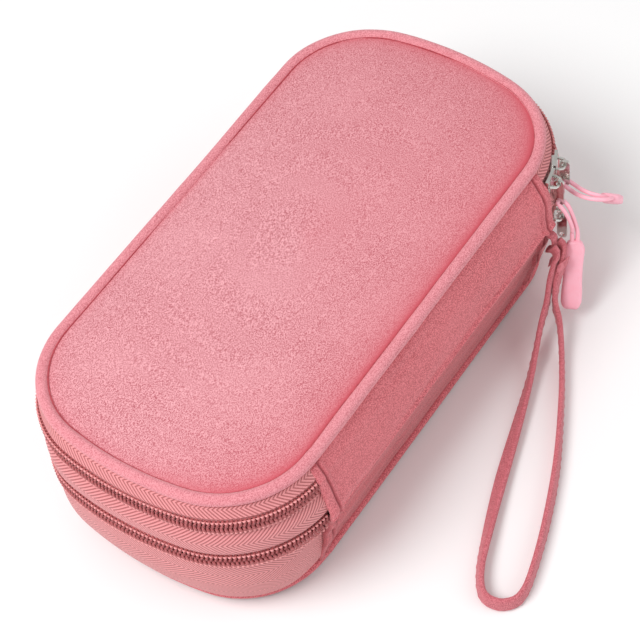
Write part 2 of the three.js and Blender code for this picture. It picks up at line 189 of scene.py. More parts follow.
def new_object(name, vertices, faces, material, uvs, sharp=None, shade=None):
    """A smooth mesh. uvs has one pair of metres per vertex; shade one number per vertex."""
    mesh = bpy.data.meshes.new(name)
    mesh.from_pydata([sunk_in(v) for v in vertices], [], faces)
    mesh.validate()
    layer = mesh.uv_layers.new(name="metres")
    for loop in mesh.loops:
        layer.data[loop.index].uv = uvs[loop.vertex_index]
    if shade:
        attribute = mesh.color_attributes.new("shade", "FLOAT_COLOR", "POINT")
        for i, value in enumerate(shade):
            attribute.data[i].color = (value, value, value, 1)
    mesh.materials.append(material)
    mesh.shade_smooth()
    if sharp:
        mesh.set_sharp_from_angle(angle=math.radians(sharp))
    mesh.update()
    piece = bpy.data.objects.new(name, mesh)
    bpy.context.collection.objects.link(piece)
    return piece


def sweep(name, stations, profile_at, closed, material, sharp=50, shade_at=None):
    """Sweeps a closed profile of (outward, z) along the stations.

    profile_at(s) gives the profile at a distance s along them, and shade_at(s) its shade.
    """
    along = lengths(stations, closed)
    vertices, uvs, shade, faces = [], [], [], []
    for s, (x, y, nx, ny) in zip(along, stations):
        profile = profile_at(s)
        v = 0.0
        for j, (outward, z) in enumerate(profile):
            if j:
                v += math.hypot(outward - profile[j - 1][0], z - profile[j - 1][1])
            vertices.append((x + nx * outward, y + ny * outward, z))
            uvs.append((s, v))
            shade.append(shade_at(s) if shade_at else 0.0)
    count = len(profile)
    last = len(stations) if closed else len(stations) - 1
    for i in range(last):
        here = i * count
        there = ((i + 1) % len(stations)) * count
        for j in range(count):
            k = (j + 1) % count
            faces.append((here + j, there + j, there + k, here + k))
    if not closed:
        end = (len(stations) - 1) * count
        faces.append(tuple(range(count)))
        faces.append(tuple(end + j for j in reversed(range(count))))
    return new_object(name, vertices, faces, material, uvs, sharp, shade)


def disc_faces(base, rings, count, upward):
    """Faces of rings of count vertices each, one inside the next, closed by a centre vertex."""
    faces = []
    for i in range(rings - 1):
        a, b = base + i * count, base + (i + 1) * count
        for j in range(count):
            k = (j + 1) % count
            faces.append((a + j, a + k, b + k, b + j))
    last, centre = base + (rings - 1) * count, base + rings * count
    for j in range(count):
        faces.append((last + j, last + (j + 1) % count, centre))
    return faces if upward else [face[::-1] for face in faces]


def cloth_strip(outer, thickness):
    """Closed profile of a strip of cloth whose outer face passes through the points."""
    inner = [(u - thickness, z) for u, z in reversed(outer)]
    return [*outer, *inner]


def smooth_between(points, steps):
    """More points on a smooth line through (outward, z) points."""
    dense = []
    count = len(points)
    for i in range(count - 1):
        before = points[max(i - 1, 0)]
        a, b = points[i], points[i + 1]
        after = points[min(i + 2, count - 1)]
        for k in range(steps):
            dense.append(catmull(before, a, b, after, k / steps))
    dense.append(points[-1])
    return dense


def catmull(p0, p1, p2, p3, t):
    """A point between p1 and p2 of a Catmull-Rom curve, in any number of dimensions."""
    out = []
    for a, b, c, d in zip(p0, p1, p2, p3):
        linear = (c - a) * t
        square = (2 * a - 5 * b + 4 * c - d) * t * t
        cube = (3 * b - a - 3 * c + d) * t**3
        out.append(0.5 * (2 * b + linear + square + cube))
    return tuple(out)


def even_points(points, spacing):
    """Points at even distances along a smooth curve through the given points."""
    dense = [Vector(p) for p in smooth_between([tuple(p) for p in points], 24)]
    total = sum((b - a).length for a, b in zip(dense, dense[1:]))
    count = max(2, round(total / spacing))
    out = [dense[0]]
    travelled, target = 0.0, total / count
    for a, b in zip(dense, dense[1:]):
        step = (b - a).length
        while travelled + step >= target - 1e-9 and len(out) < count:
            out.append(a.lerp(b, (target - travelled) / step))
            target += total / count
        travelled += step
    out.append(dense[-1])
    return out


def direction_at(points, i):
    """The direction of a line of points at its i-th one."""
    before = points[max(i - 1, 0)]
    after = points[min(i + 1, len(points) - 1)]
    return (after - before).normalized()


def tube(name, points, ring_at, material, sides=12):
    """A tube through points. ring_at(t, tangent) gives its two half axes as vectors."""
    vertices, uvs, faces = [], [], []
    count = len(points)
    s = 0.0
    for i, point in enumerate(points):
        wide, thick = ring_at(i / (count - 1), direction_at(points, i))
        if i:
            s += (point - points[i - 1]).length
        for j in range(sides):
            angle = 2 * math.pi * j / sides
            vertices.append(point + wide * math.cos(angle) + thick * math.sin(angle))
            uvs.append((s, wide.length * angle))
    for i in range(count - 1):
        here, there = i * sides, (i + 1) * sides
        for j in range(sides):
            k = (j + 1) % sides
            faces.append((here + j, here + k, there + k, there + j))
    end = (count - 1) * sides
    faces.append(tuple(reversed(range(sides))))
    faces.append(tuple(end + j for j in range(sides)))
    return new_object(name, vertices, faces, material, uvs)


def stitches(name, lines, length, radius, material):
    """Short sewn stitches. Each line is a list of (centre, direction, normal)."""
    vertices, faces = [], []
    rings, sides = 5, 6
    for centre, direction, normal in lines:
        across = direction.cross(normal).normalized()
        base = len(vertices)
        for i in range(rings):
            t = 2 * i / (rings - 1) - 1
            size = radius * math.sqrt(max(0.05, 1 - t * t * 0.9))
            spot = centre + direction * (t * length / 2) - normal * (radius * 0.9 * t * t)
            for j in range(sides):
                angle = 2 * math.pi * j / sides
                offset = across * math.cos(angle) + normal * math.sin(angle)
                vertices.append(spot + offset * size)
        for i in range(rings - 1):
            for j in range(sides):
                k = (j + 1) % sides
                a, b = base + i * sides, base + (i + 1) * sides
                faces.append((a + j, b + j, b + k, a + k))
        faces.append(tuple(base + j for j in range(sides)))
        faces.append(tuple(base + (rings - 1) * sides + j for j in reversed(range(sides))))
    return new_object(name, vertices, faces, material, [(0, 0)] * len(vertices))


def wander(s, seed, scale=30 * MM, amount=0.4 * MM):
    """A small unevenness of hand-sewn edges at a distance s along them."""
    return noise.noise(Vector((s / scale, seed * 7.3, 0.5))) * amount


# ---------- materials ----------
# Noise scales are in repeats per metre.
def node_material(name):
    material = bpy.data.materials.new(name)
    material.use_nodes = True
    nodes = material.node_tree.nodes
    return material, nodes, material.node_tree.links, nodes["Principled BSDF"]


def math_node(nodes, links, operation, a, b=None):
    node = nodes.new("ShaderNodeMath")
    node.operation = operation
    for socket, value in zip(node.inputs, (a, b)):
        if value is None:
            continue
        if isinstance(value, (int, float)):
            socket.default_value = value
        else:
            links.new(value, socket)
    return node.outputs[0]


def mix_color(nodes, links, factor, first, second):
    node = nodes.new("ShaderNodeMix")
    node.data_type = "RGBA"
    links.new(factor, node.inputs["Factor"])
    for socket, value in ((node.inputs[6], first), (node.inputs[7], second)):
        if isinstance(value, tuple):
            socket.default_value = (*value, 1)
        else:
            links.new(value, socket)
    return node.outputs[2]


def noise_node(nodes, links, coordinate, scale, detail=2.0, rough=0.5):
    node = nodes.new("ShaderNodeTexNoise")
    node.inputs["Scale"].default_value = scale
    node.inputs["Detail"].default_value = detail
    node.inputs["Roughness"].default_value = rough
    links.new(coordinate, node.inputs["Vector"])
    return node.outputs["Fac"]


def ramp_node(nodes, links, value, low, high):
    node = nodes.new("ShaderNodeMapRange")
    node.interpolation_type = "SMOOTHSTEP"
    node.inputs["From Min"].default_value = low
    node.inputs["From Max"].default_value = high
    links.new(value, node.inputs["Value"])
    return node.outputs["Result"]


def bump_node(nodes, links, height, strength, distance):
    node = nodes.new("ShaderNodeBump")
    node.inputs["Strength"].default_value = strength
    node.inputs["Distance"].default_value = distance
    links.new(height, node.inputs["Height"])
    return node.outputs["Normal"]


def stretched(nodes, links, turn, stretch):
    """The object's own coordinates turned about Z and stretched."""
    coordinates = nodes.new("ShaderNodeTexCoord")
    mapping = nodes.new("ShaderNodeMapping")
    mapping.inputs["Rotation"].default_value = (0, 0, math.radians(turn))
    mapping.inputs["Scale"].default_value = stretch
    links.new(coordinates.outputs["Object"], mapping.inputs["Vector"])
    return mapping.outputs["Vector"]


def metres_along(nodes):
    """The mesh's own map, in metres along and across the cloth."""
    node = nodes.new("ShaderNodeUVMap")
    node.uv_map = "metres"
    return node.outputs["UV"]


def melange(name, light, deep, seam):
    """Heathered cloth: light and deep yarns in short slanting flecks, and a darker seam colour painted
    in as shade where the vertex attribute shade asks for it.
    """
    material, nodes, links, shader = node_material(name)
    slanted = stretched(nodes, links, 38, (1.0, 1.7, 1.3))
    flecks = noise_node(nodes, links, slanted, 2300, 1.4, 0.65)
    fleck = ramp_node(nodes, links, flecks, 0.34, 0.64)
    color = mix_color(nodes, links, fleck, deep, light)
    plain = stretched(nodes, links, 0, (1, 1, 1))
    cloud = ramp_node(nodes, links, noise_node(nodes, links, plain, 35, 3), 0.35, 0.75)
    color = mix_color(nodes, links, math_node(nodes, links, "MULTIPLY", cloud, 0.22), color, light)
    # Painted shade: the shade attribute mixes the cloth towards the seam colour in hollows and creases.
    shade = nodes.new("ShaderNodeVertexColor")
    shade.layer_name = "shade"
    color = mix_color(nodes, links, shade.outputs["Color"], color, seam)
    links.new(color, shader.inputs["Base Color"])
    yarn = noise_node(nodes, links, slanted, 2500, 1, 0.5)
    height = math_node(nodes, links, "ADD", flecks, math_node(nodes, links, "MULTIPLY", yarn, 0.6))
    normal = bump_node(nodes, links, height, 0.55, 0.25 * MM)
    links.new(normal, shader.inputs["Normal"])
    shader.inputs["Roughness"].default_value = 0.88
    shader.inputs["Sheen Weight"].default_value = 0.25
    shader.inputs["Sheen Roughness"].default_value = 0.5
    shader.inputs["Sheen Tint"].default_value = (1.0, 0.8, 0.82, 1)
    return material


HERRINGBONE_BAND = 6 * MM
HERRINGBONE_PITCH = 1.5 * MM


def herringbone(name, light, deep):
    """Zip tape woven in a herringbone: slanting ribs that turn over every few millimetres."""
    material, nodes, links, shader = node_material(name)
    coordinates = nodes.new("ShaderNodeTexCoord")
    split = nodes.new("ShaderNodeSeparateXYZ")
    links.new(metres_along(nodes), split.inputs[0])
    band = math_node(nodes, links, "PINGPONG", split.outputs[1], HERRINGBONE_BAND)
    lean = math_node(nodes, links, "MULTIPLY", band, 1.25)
    slanted = math_node(nodes, links, "ADD", split.outputs[0], lean)
    phase = math_node(nodes, links, "MULTIPLY", slanted, 2 * math.pi / HERRINGBONE_PITCH)
    wave = math_node(nodes, links, "SINE", phase)
    rib = ramp_node(nodes, links, wave, -0.95, 0.3)
    fine = noise_node(nodes, links, coordinates.outputs["Object"], 1500, 1.5)
    rib = math_node(nodes, links, "MULTIPLY", rib, 0.75)
    fine = math_node(nodes, links, "MULTIPLY", fine, 0.3)
    rib = math_node(nodes, links, "ADD", rib, fine)
    color = mix_color(nodes, links, ramp_node(nodes, links, rib, 0.1, 0.9), deep, light)
    links.new(color, shader.inputs["Base Color"])
    links.new(bump_node(nodes, links, rib, 0.7, 0.3 * MM), shader.inputs["Normal"])
    shader.inputs["Roughness"].default_value = 0.82
    shader.inputs["Sheen Weight"].default_value = 0.15
    return material


def plain_material(name, color, second, roughness, scale, bump=0.1, metallic=0.0):
    """One colour with a fine mottling and a fine bump."""
    material, nodes, links, shader = node_material(name)
    coordinates = nodes.new("ShaderNodeTexCoord")
    mottle = noise_node(nodes, links, coordinates.outputs["Object"], scale, 2)
    factor = ramp_node(nodes, links, mottle, 0.35, 0.7)
    links.new(mix_color(nodes, links, factor, color, second), shader.inputs["Base Color"])
    links.new(bump_node(nodes, links, mottle, bump, 0.1 * MM), shader.inputs["Normal"])
    shader.inputs["Roughness"].default_value = roughness
    shader.inputs["Metallic"].default_value = metallic
    return material


def woven_lining(name, light, deep, pitch):
    """Plain weave, with a given pitch in metres."""
    material, nodes, links, shader = node_material(name)
    split = nodes.new("ShaderNodeSeparateXYZ")
    links.new(metres_along(nodes), split.inputs[0])
    waves = []
    for axis in (0, 1):
        turn = math_node(nodes, links, "MULTIPLY", split.outputs[axis], 2 * math.pi / pitch)
        waves.append(math_node(nodes, links, "SINE", turn))
    product = math_node(nodes, links, "MULTIPLY", waves[0], waves[1])
    weave = ramp_node(nodes, links, product, -0.6, 0.6)
    links.new(mix_color(nodes, links, weave, deep, light), shader.inputs["Base Color"])
    links.new(bump_node(nodes, links, weave, 0.4, 0.15 * MM), shader.inputs["Normal"])
    shader.inputs["Roughness"].default_value = 0.75
    return material


# The third colour of each melange is painted shade, which the vertex attribute shade mixes in.
LIGHT_PINK = (0.84, 0.4, 0.44)
DEEP_PINK = (0.44, 0.1, 0.125)
PAINTED_SHADE_PINK = (0.6, 0.085, 0.115)
cloth = melange("melange_cloth", LIGHT_PINK, DEEP_PINK, PAINTED_SHADE_PINK)
spine_cloth = melange("spine_cloth", (0.8, 0.22, 0.25), (0.44, 0.065, 0.08), (0.36, 0.05, 0.065))
# spine_shade_cloth is spine_cloth made darker: painted shade for the lower spine, which faces down and
# away from the light.
spine_shade_cloth = melange(
    "spine_shade_cloth", (0.64, 0.13, 0.15), (0.33, 0.045, 0.055), (0.3, 0.04, 0.05)
)
piping_cloth = melange("piping_cloth", (0.82, 0.32, 0.36), (0.56, 0.15, 0.18), (0.5, 0.09, 0.12))
strap_cloth = melange("strap_cloth", (0.68, 0.2, 0.235), (0.42, 0.08, 0.1), (0.36, 0.05, 0.065))
tape_cloth = herringbone("zip_tape", (0.76, 0.285, 0.295), (0.42, 0.11, 0.115))
coil_nylon = plain_material("zip_coil", (0.5, 0.13, 0.135), (0.38, 0.085, 0.09), 0.5, 900)
coil_thread = plain_material("zip_thread", (0.84, 0.36, 0.36), (0.7, 0.26, 0.26), 0.8, 900)
sewing_thread = plain_material("sewing_thread", (0.7, 0.22, 0.26), (0.55, 0.14, 0.17), 0.7, 900)
lining_cloth = woven_lining("lining", (0.3, 0.27, 0.29), (0.16, 0.145, 0.155), 1.1 * MM)
pocket_net = woven_lining("pocket_mesh", (0.22, 0.2, 0.22), (0.03, 0.028, 0.03), 2.2 * MM)
elastic_cloth = woven_lining("elastic", (0.13, 0.12, 0.13), (0.05, 0.045, 0.05), 1.5 * MM)
nickel = plain_material("nickel", (0.72, 0.7, 0.67), (0.62, 0.6, 0.57), 0.16, 300, 0.05, 1.0)
rubber = plain_material("soft_rubber", (1.0, 0.5, 0.6), (1.0, 0.47, 0.57), 0.5, 500, 0.12)


def finish_piece(piece, body, slot, *nodes):
    """Fastens a piece to its body and hides the CAD nodes it stands for; slot is not used."""
    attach(piece, body)
    if nodes:
        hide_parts(*nodes)
    return piece


# ---------- wrist strap ----------
STRAP_ROUTE = [
    (58.2, -52.6, 28.5),
    (57.8, -54.4, 27),
    (56.3, -54.8, 23.5),
    (52.5, -55.2, 18.5),
    (48.2, -56.4, 13.5),
    (42.6, -57.6, 9.5),
    (34.5, -60.2, 5.2),
    (23, -64, 2.8),
    (-9.2, -73.9, 2.7),
    (-29.4, -80.9, 2.7),
    (-39.6, -85.1, 2.7),
    (-45.6, -89.6, 2.7),
    (-46.4, -94.2, 2.7),
    (-44.4, -97.8, 2.7),
    (-40.6, -99.6, 2.7),
    (-33, -98.6, 2.7),
    (-16, -93.5, 2.7),
    (3.9, -85.7, 2.7),
    (25.3, -75, 2.7),
    (39, -67.2, 3.6),
    (46.8, -62, 7.5),
    (50.4, -58.3, 12.5),
    (54, -56.7, 17.5),
    (58.2, -56.2, 23),
    (61.2, -54.8, 26.6),
    (61.2, -52.6, 28.5),
]
STRAP_HALF_WIDTH = 2.5 * MM
STRAP_HALF_THICKNESS = 0.9 * MM
STRAP_STEP = 1.6 * MM


def strap_turn(t):
    """How far the strap leans over from standing on its edge, in radians."""
    left = math.exp(-(((t - 0.3) / 0.14) ** 2))
    right = math.exp(-(((t - 0.66) / 0.1) ** 2))
    return math.radians(48 * left + 12 * right)


def power(value, exponent):
    """A power that keeps the sign. Exponents under one make a circle squarer."""
    return math.copysign(abs(value) ** exponent, value)


def strap_frames_along(points):
    """The strap's centre, tangent, wide and thin directions at each of its points."""
    frames = []
    for i, point in enumerate(points):
        tangent = direction_at(points, i)
        side = Vector((tangent.y, -tangent.x, 0)).normalized()
        up = tangent.cross(side)
        lean = strap_turn(i / (len(points) - 1))
        wide = up * math.cos(lean) + side * math.sin(lean)
        thin = side * math.cos(lean) - up * math.sin(lean)
        drop = STRAP_HALF_WIDTH * (1 - math.cos(lean)) * 0.8
        frames.append((point - Vector((0, 0, drop)), tangent, wide, thin))
    return frames


def strap_webbing(frames):
    rows = 14
    vertices, faces, uvs = [], [], []
    for i, (centre, tangent, wide, thin) in enumerate(frames):
        for j in range(rows):
            angle = 2 * math.pi * j / rows
            flat = power(math.cos(angle), 0.45)
            bulge = power(math.sin(angle), 0.6)
            uneven = 1 + 0.05 * noise.noise(Vector((i * 0.09, flat, 3.1)))
            offset = wide * (flat * STRAP_HALF_WIDTH * uneven)
            vertices.append(centre + offset + thin * (bulge * STRAP_HALF_THICKNESS))
            uvs.append((i * STRAP_STEP, flat * STRAP_HALF_WIDTH))
    end = (len(frames) - 1) * rows
    for a in range(0, end, rows):
        for j in range(rows):
            k = (j + 1) % rows
            faces.append((a + j, a + rows + j, a + rows + k, a + k))
    faces.append(tuple(range(rows)))
    faces.append(tuple(end + j for j in reversed(range(rows))))
    strap = new_object("wrist_strap_webbing", vertices, faces, strap_cloth, uvs, 50)
    return finish_piece(strap, "tray", "strap_cloth", "wrist_strap")


def strap_seams(frames):
    """A row of stitches along both faces of the strap."""
    spots = []
    for centre, tangent, wide, thin in frames[2:-2:2]:
        for face in (1, -1):
            on_face = centre + thin * (face * STRAP_HALF_THICKNESS * 0.96)
            spot = on_face + wide * (STRAP_HALF_WIDTH * 0.62)
            spots.append((spot, tangent, thin * face))
    seam = stitches("wrist_strap_stitches", spots, 2.3 * MM, 0.16 * MM, sewing_thread)
    return finish_piece(seam, "tray", "strap_cloth")


strap_points = even_points([Vector(p) * MM for p in STRAP_ROUTE], STRAP_STEP)
strap_path = [tuple(p) for p in strap_points]
strap_frames = strap_frames_along(strap_points)
strap = strap_webbing(strap_frames)
strap_seam = strap_seams(strap_frames)


BAR_TACK_AT = 0.027  # share of the strap's length from either end


def make_bar_tack():
    """Dense thread wrapped over both legs of the strap where they are sewn together."""
    near_index = round(BAR_TACK_AT * len(strap_frames))
    far_index = len(strap_frames) - 1 - near_index
    a = strap_frames[near_index]
    b = strap_frames[far_index]
    middle = (a[0] + b[0]) / 2
    across = (b[0] - a[0]).normalized()
    along = a[1]
    up = across.cross(along).normalized()
    reach = (b[0] - a[0]).length / 2 + STRAP_HALF_THICKNESS
    lines = []
    for i in range(7):
        centre = middle + along * ((i - 3) * 0.42 * MM)
        for side in (1, -1):
            lines.append((centre + up * (side * STRAP_HALF_WIDTH * 1.02), across, up * side))
    tack = stitches("wrist_strap_bar_tack", lines, 2 * reach, 0.3 * MM, sewing_thread)
    finish_piece(tack, "tray", "strap_cloth")
    end = [middle - across * (0.9 * MM), middle - across * (1.6 * MM) + along * (2.6 * MM)]
    fold = tube(
        "wrist_strap_folded_end",
        even_points(end, 0.6 * MM),
        lambda t, tangent: (up * (1.7 * MM * (1 - 0.3 * t)), tangent.cross(up) * (0.6 * MM)),
        strap_cloth,
    )
    finish_piece(fold, "tray", "strap_cloth")
    return tack, fold


bar_tack, folded_end = make_bar_tack()
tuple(strap_path[0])
sum((b - a).length for a, b in zip(strap_points, strap_points[1:]))


def make_strap_anchor():
    low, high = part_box("strap_anchor")
    centre = (Vector(low) + Vector(high)) / 2
    around = [(0, 0.8, 4), (0.3, -1.3, 2.6), (0.3, -1.3, -2.6), (0, 0.8, -4)]
    points = [centre + Vector(p) * MM for p in around]
    anchor = tube(
        "strap_anchor_loop",
        even_points(points, 0.8 * MM),
        lambda t, tangent: (Vector((1.6 * MM, 0, 0)), tangent.cross(Vector((1, 0, 0))) * (0.7 * MM)),
        strap_cloth,
    )
    finish_piece(anchor, "tray", "strap_cloth", "strap_anchor")


make_strap_anchor()


# ---------- walls of zip tape ----------
def tape_wall(name, outer, thickness, body, node, seed, tuck=0.0):
    """A wall of zip tape. Its outer face passes through the (outward, z) points in mm.

    tuck is how far it draws in at its ends, to pass under the spine's hems.
    """
    face = smooth_between([(u * MM, z * MM) for u, z in outer], 5)
    stations = zipped_sides()
    total = lengths(stations, False)[-1]

    def profile_at(s):
        edge = min(s, total - s)
        drawn = tuck * MM * math.exp(-((edge / (13 * MM)) ** 2))
        shifted = []
        for i, (u, z) in enumerate(face):
            rise = i / (len(face) - 1)
            bulge = math.sin(math.pi * rise)
            uneven = wander(s, seed + rise * 0.35) * (0.3 + bulge)
            shifted.append((u + uneven - drawn * bulge**0.7, z))
        return cloth_strip(shifted, thickness * MM)

    wall = sweep(name, stations, profile_at, False, tape_cloth)
    return finish_piece(wall, body, "zip_tape", node)


def make_walls():
    low, high = LOWER_ZIP_Z / MM, UPPER_ZIP_Z / MM
    edge = TOP_SEAM_Z / MM - 1.6
    tray = [(-7.4, 3.8), (-4.4, 7.6), (-2, 14), (-0.6, 21), (-0.3, 27), (-0.6, low - 3.6)]
    tray += [(-1.0, low - 2.6), (-1.2, low - 0.25)]
    tape_wall("tray_wall", tray, 1.0, "tray", "tray_zip_tape", 1, 3.5)
    divider = [(-1.2, low + 0.25), (-1.1, low + 2.4), (-1.2, low + 3.4), (-1.3, low + 5)]
    tape_wall("divider_wall", divider, 1.0, "middle", "divider_zip_tape", 2)
    middle = [(-1.3, low + 2.7), (-0.5, low + 3.6), (0, low + 5.5), (-0.4, low + 9.5), (-2, high - 3.6)]
    middle += [(-2.7, high - 2.6), (-2.9, high - 0.25)]
    tape_wall("middle_wall", middle, 1.0, "middle", "middle_zip_tape", 3)
    lid = [(-2.9, high + 0.25), (-2.8, high + 2.4), (-2.6, high + 3.3), (-3, edge - 2.6), (-4.6, edge)]
    tape_wall("lid_wall", lid, 0.8, "lid", "lid_zip_tape", 4)


make_walls()


# ---------- zip coils ----------
COIL_PITCH = 1.35 * MM
COIL_WIRE = 0.48 * MM  # radius of the nylon
COIL_DEPTH = 0.8 * MM  # radius of a turn, outwards
COIL_HEIGHT = 1 * MM  # and upwards
COIL_STEPS = 9  # points in each turn


def place_at(stations, along, s):
    """The station at a distance s, between the two nearest ones."""
    index = max(bisect.bisect_left(along, s) - 1, 0)
    t = (s - along[index]) / (along[index + 1] - along[index])
    return [p + (q - p) * t for p, q in zip(stations[index], stations[index + 1])]


def coil_row(name, body, node, parting_z, outward, side, start):
    """One row of a coil zip: a nylon monofilament wound round the tape's edge."""
    stations = zipped_sides(start)
    along = lengths(stations, False)
    turns = int(along[-1] / COIL_PITCH)
    centre_z = parting_z + side * (0.55 * MM + COIL_HEIGHT * 0.6)
    points = []
    for i in range(turns * COIL_STEPS + 1):
        s = min(i / COIL_STEPS * COIL_PITCH, along[-1] - 1e-9)
        x, y, nx, ny = place_at(stations, along, s)
        phase = 2 * math.pi * i / COIL_STEPS
        reach = outward - COIL_DEPTH - COIL_WIRE + COIL_DEPTH * math.cos(phase)
        lift = centre_z + side * COIL_HEIGHT * math.sin(phase) * 0.95
        points.append(Vector((x + nx * reach, y + ny * reach, lift)))

    def ring(t, tangent):
        first = tangent.orthogonal().normalized()
        level = Vector((tangent.y, -tangent.x, 0))
        if level.length > 0.2:
            first = level.normalized()
        return first * COIL_WIRE, tangent.cross(first) * COIL_WIRE

    row = tube(name, points, ring, coil_nylon, 5)
    return finish_piece(row, body, "zip_coil", node)


def coil_stitches(name, body, z, outward, start):
    """The sewing that holds a coil to its tape, seen as a row of small light beads."""
    stations = zipped_sides(start)
    along = lengths(stations, False)
    spots = []
    s = COIL_PITCH
    while s < along[-1] - COIL_PITCH:
        x, y, nx, ny = place_at(stations, along, s)
        normal = Vector((nx, ny, 0)).normalized()
        direction = Vector((-ny, nx, 0)).normalized()
        spots.append((Vector((x, y, z)) + normal * outward, direction, normal))
        s += COIL_PITCH
    sewing = stitches(name, spots, 1.15 * MM, 0.34 * MM, coil_thread)
    return finish_piece(sewing, body, "zip_tape")


def make_coils():
    upper, lower = -1.2 * MM, 0.5 * MM
    start = HEM_ANGLE - 90.0
    lower_start = -69.5
    upper_start = -57.1
    coil_row("tray_coil", "tray", "tray_zip_coil", LOWER_ZIP_Z, lower, -1, start)
    coil_row("divider_coil", "middle", "divider_zip_coil", LOWER_ZIP_Z, lower, 1, lower_start)
    coil_row("middle_coil", "middle", "middle_zip_coil", UPPER_ZIP_Z, upper, -1, start)
    coil_row("lid_coil", "lid", "lid_zip_coil", UPPER_ZIP_Z, upper, 1, upper_start)
    away = 2.45 * MM
    coil_stitches("tray_coil_stitches", "tray", LOWER_ZIP_Z - away, lower - 0.4 * MM, start)
    coil_stitches("divider_coil_stitches", "middle", LOWER_ZIP_Z + away, lower - 0.5 * MM, lower_start)
    coil_stitches("middle_coil_stitches", "middle", UPPER_ZIP_Z - away, upper - 0.5 * MM, start)
    coil_stitches("lid_coil_stitches", "lid", UPPER_ZIP_Z + away, upper - 0.6 * MM, upper_start)


make_coils()


# ---------- top and bottom panels ----------
def pillow(name, inset, edge_z, rise, side, material, body, node, slot, edge_shade):
    """A padded panel: it rises steeply at its seam and is nearly flat inside."""
    outline = whole_outline()
    shape = [(x - nx * inset, y - ny * inset) for x, y, nx, ny in outline]
    rings = 34
    vertices, shade = [], []
    half = HALF_WIDTH - inset
    for i in range(rings):
        t = 1 - (i / rings) ** 1.7
        inward = (1 - t) * half
        for x, y in shape:
            low = 1 - math.exp(-inward / (9 * MM))
            crown = 1 - t**2.2
            height = rise * (0.5 * low + 0.5 * crown)
            puff = noise.noise(Vector((x * t * 22, y * t * 22, 4.2))) * 0.5 * MM
            puff *= min(1, inward / (12 * MM))
            vertices.append((x * t, y * t, edge_z + side * (height + puff)))
            # spine grows along the spine side and towards the far end, where top_shade paints deeper
            # shade.
            spine = max(0.0, -y / half, 0.5 * x / HALF_LENGTH - 0.1)
            shade.append(edge_shade(inward, x, y, spine))
    vertices.append((0, 0, edge_z + side * rise))
    shade.append(0.0)
    faces = disc_faces(0, rings, len(shape), side > 0)
    panel = new_object(name, vertices, faces, material, [(v[0], v[1]) for v in vertices], None, shade)
    solid = panel.modifiers.new("cloth_thickness", "SOLIDIFY")
    solid.thickness = 1.2 * MM
    solid.offset = -1
    finish_piece(panel, body, slot, node)
    return panel


def top_shade(inward, x, y, spine):
    """Painted shade: deeper colour in the hollow beside the seam, most of all along the spine and
    towards the far end, and deeper across the lid away from the key light.
    """
    near_seam = math.exp(-inward / (1.3 * MM))
    painted_spine_shade = math.exp(-inward / (9 * MM)) * (0.02 + 0.42 * spine)
    # Painted shading: the lid darkens across towards the far spine corner, away from the key light.
    across = (x - 1.4 * y) / (HALF_LENGTH + 1.4 * HALF_WIDTH)
    return min(1.0, (0.3 + 0.4 * spine) * near_seam + painted_spine_shade + 0.16 * max(0.0, 0.3 + across))


# Painted shade: deeper colour in the crease beside the bottom panel's seam.
def bottom_shade(inward, _x, _y, _spine):
    return 0.6 * math.exp(-inward / (2.5 * MM))


pillow("top_cloth", PANEL_INSET, TOP_SEAM_Z + 0.5 * MM, CROWN_Z - TOP_SEAM_Z - 0.8 * MM, 1, cloth,
       "lid", "top_panel", "melange_cloth", top_shade)
pillow("bottom_cloth", 9 * MM, 3.4 * MM, 3.1 * MM, -1, cloth,
       "tray", "bottom_panel", "melange_cloth", bottom_shade)


# ---------- piping and welt ----------
def round_ring(name, inset, z, radius, material, body, node, slot, seed):
    """A round cord covered in cloth, sewn in all the way round."""
    outline = whole_outline()
    sides = 18

    def profile_at(s):
        swell = 1 + 0.05 * noise.noise(Vector((s / 0.011, seed, 1.7)))
        sway = wander(s, seed, 0.05, 0.5 * MM)
        points = []
        for j in range(sides):
            angle = 2 * math.pi * j / sides
            outward = -inset + sway + radius * swell * math.cos(angle)
            points.append((outward, z + radius * swell * math.sin(angle)))
        return points

    ring = sweep(name, outline, profile_at, True, material, None)
    return finish_piece(ring, body, slot, node)


round_ring("lid_piping_cloth", PIPING_INSET, TOP_SEAM_Z, PIPING_RADIUS, piping_cloth,
           "lid", "lid_piping", "melange_cloth", 5)
round_ring("bottom_welt_cloth", 7.6 * MM, 3.1 * MM, 1.3 * MM, spine_cloth,
           "tray", "bottom_welt", "spine_cloth", 9)


def seam_allowance(name, inset, low, high, body, thickness):
    """The dark flange of cloth between a panel and its piping, down in the seam; its dark colour is
    painted shadow in the seam's gap.
    """
    profile = cloth_strip([(-inset, low), (-inset, high)], thickness)
    ring = sweep(name, whole_outline(), lambda s: profile, True, seam_painted_shadow)
    return finish_piece(ring, body, "spine_cloth")


# Painted shadow: a dark sheet that shows in the gap between the top panel and its piping.
seam_painted_shadow = plain_material("seam_shadow_cloth", (0.5, 0.08, 0.1), (0.36, 0.05, 0.065), 0.9, 900)
seam_low, seam_high = TOP_SEAM_Z - 2.2 * MM, TOP_SEAM_Z + 0.9 * MM
seam_allowance("lid_seam", PANEL_INSET - 0.6 * MM, seam_low, seam_high, "lid", 0.8 * MM)


# ---------- spine ----------
HEM_WIDTH = 5 * MM
HEM_STITCH = 3.6 * MM  # from the hem's end to its line of stitches


